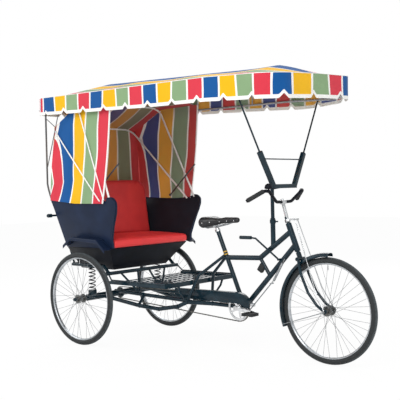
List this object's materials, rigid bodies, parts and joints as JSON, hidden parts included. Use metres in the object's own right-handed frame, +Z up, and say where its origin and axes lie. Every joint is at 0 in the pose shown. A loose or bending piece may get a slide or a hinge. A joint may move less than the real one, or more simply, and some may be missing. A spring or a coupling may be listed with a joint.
{
  "type": "cycle rickshaw",
  "caption": "Pedal tricycle taxi with a passenger bench between its rear wheels, a folding striped hood behind it and a long striped canopy over rider and passengers.",
  "frame": {"origin": "on the ground, under the middle of the vehicle's length and width", "axes": "+X forward, +Y to the rider's left, +Z up"},
  "size_m": [2.715, 1.112, 2.049],
  "materials": {
    "frame_paint": "gloss",
    "panel_paint": "gloss",
    "black_paint": "satin",
    "chrome": "polished",
    "steel": "satin",
    "galvanised": "satin",
    "seat_red": "satin",
    "canopy_cloth": "matte",
    "saddle_black": "satin",
    "tyre": "matte",
    "rubber": "matte"
  },
  "bodies": {
    "chassis": {"front_frame": "frame_paint", "lower_frame": "frame_paint", "centre_beams": "frame_paint", "seat_stays": "frame_paint", "rear_axle": "frame_paint", "suspension_springs": "black_paint", "body_frame": "frame_paint", "foot_rack": "frame_paint", "seat_base": "black_paint", "side_panels": "panel_paint", "back_panel": "panel_paint", "seat_cushion": "seat_red", "back_cushion": "seat_red", "rear_mudguards": "panel_paint", "push_handle": "frame_paint", "canopy_roof": "canopy_cloth", "canopy_valance": "canopy_cloth", "canopy_frame": "galvanised", "rear_posts": "galvanised", "canopy_mast": "frame_paint", "canopy_fork": "frame_paint", "hood_bows": "galvanised", "hood_cover": "canopy_cloth", "side_curtains": "canopy_cloth", "saddle": "saddle_black", "seat_post": "chrome", "chain_case": "frame_paint", "chain": "steel", "hand_brake": "frame_paint", "brake_rods": "steel"},
    "steering": {"steering_fork": "frame_paint", "front_axle": "steel", "handlebar": "chrome", "grips": "rubber", "bell": "black_paint", "front_mudguard": "frame_paint", "truss_rods": "chrome"},
    "front_wheel": {"front_tyre": "tyre", "front_rim": "chrome", "front_hub_spokes": "steel"},
    "right_wheel": {"right_tyre": "tyre", "right_rim": "chrome", "right_hub_spokes": "steel"},
    "left_wheel": {"left_tyre": "tyre", "left_rim": "chrome", "left_hub_spokes": "steel"},
    "cranks": {"crank_set": "chrome", "pedals": "rubber"}
  },
  "joints": [
    {"name": "steering_turn", "type": "hinge", "parent": "chassis", "child": "steering", "pos_m": [0.7685, 0, 0.739], "axis": [-0.3576, 0, 0.9339], "range_deg": [-45, 45]},
    {"name": "front_wheel_spin", "type": "hinge", "parent": "steering", "child": "front_wheel", "pos_m": [1.0025, 0, 0.355], "axis": [0, 1, 0], "continuous": true},
    {"name": "right_wheel_spin", "type": "hinge", "parent": "chassis", "child": "right_wheel", "pos_m": [-0.9025, -0.49, 0.355], "axis": [0, 1, 0], "continuous": true},
    {"name": "left_wheel_spin", "type": "hinge", "parent": "chassis", "child": "left_wheel", "pos_m": [-0.9025, 0.49, 0.355], "axis": [0, 1, 0], "continuous": true},
    {"name": "crank_spin", "type": "hinge", "parent": "chassis", "child": "cranks", "pos_m": [0.3025, 0, 0.328], "axis": [0, 1, 0], "continuous": true}
  ]
}
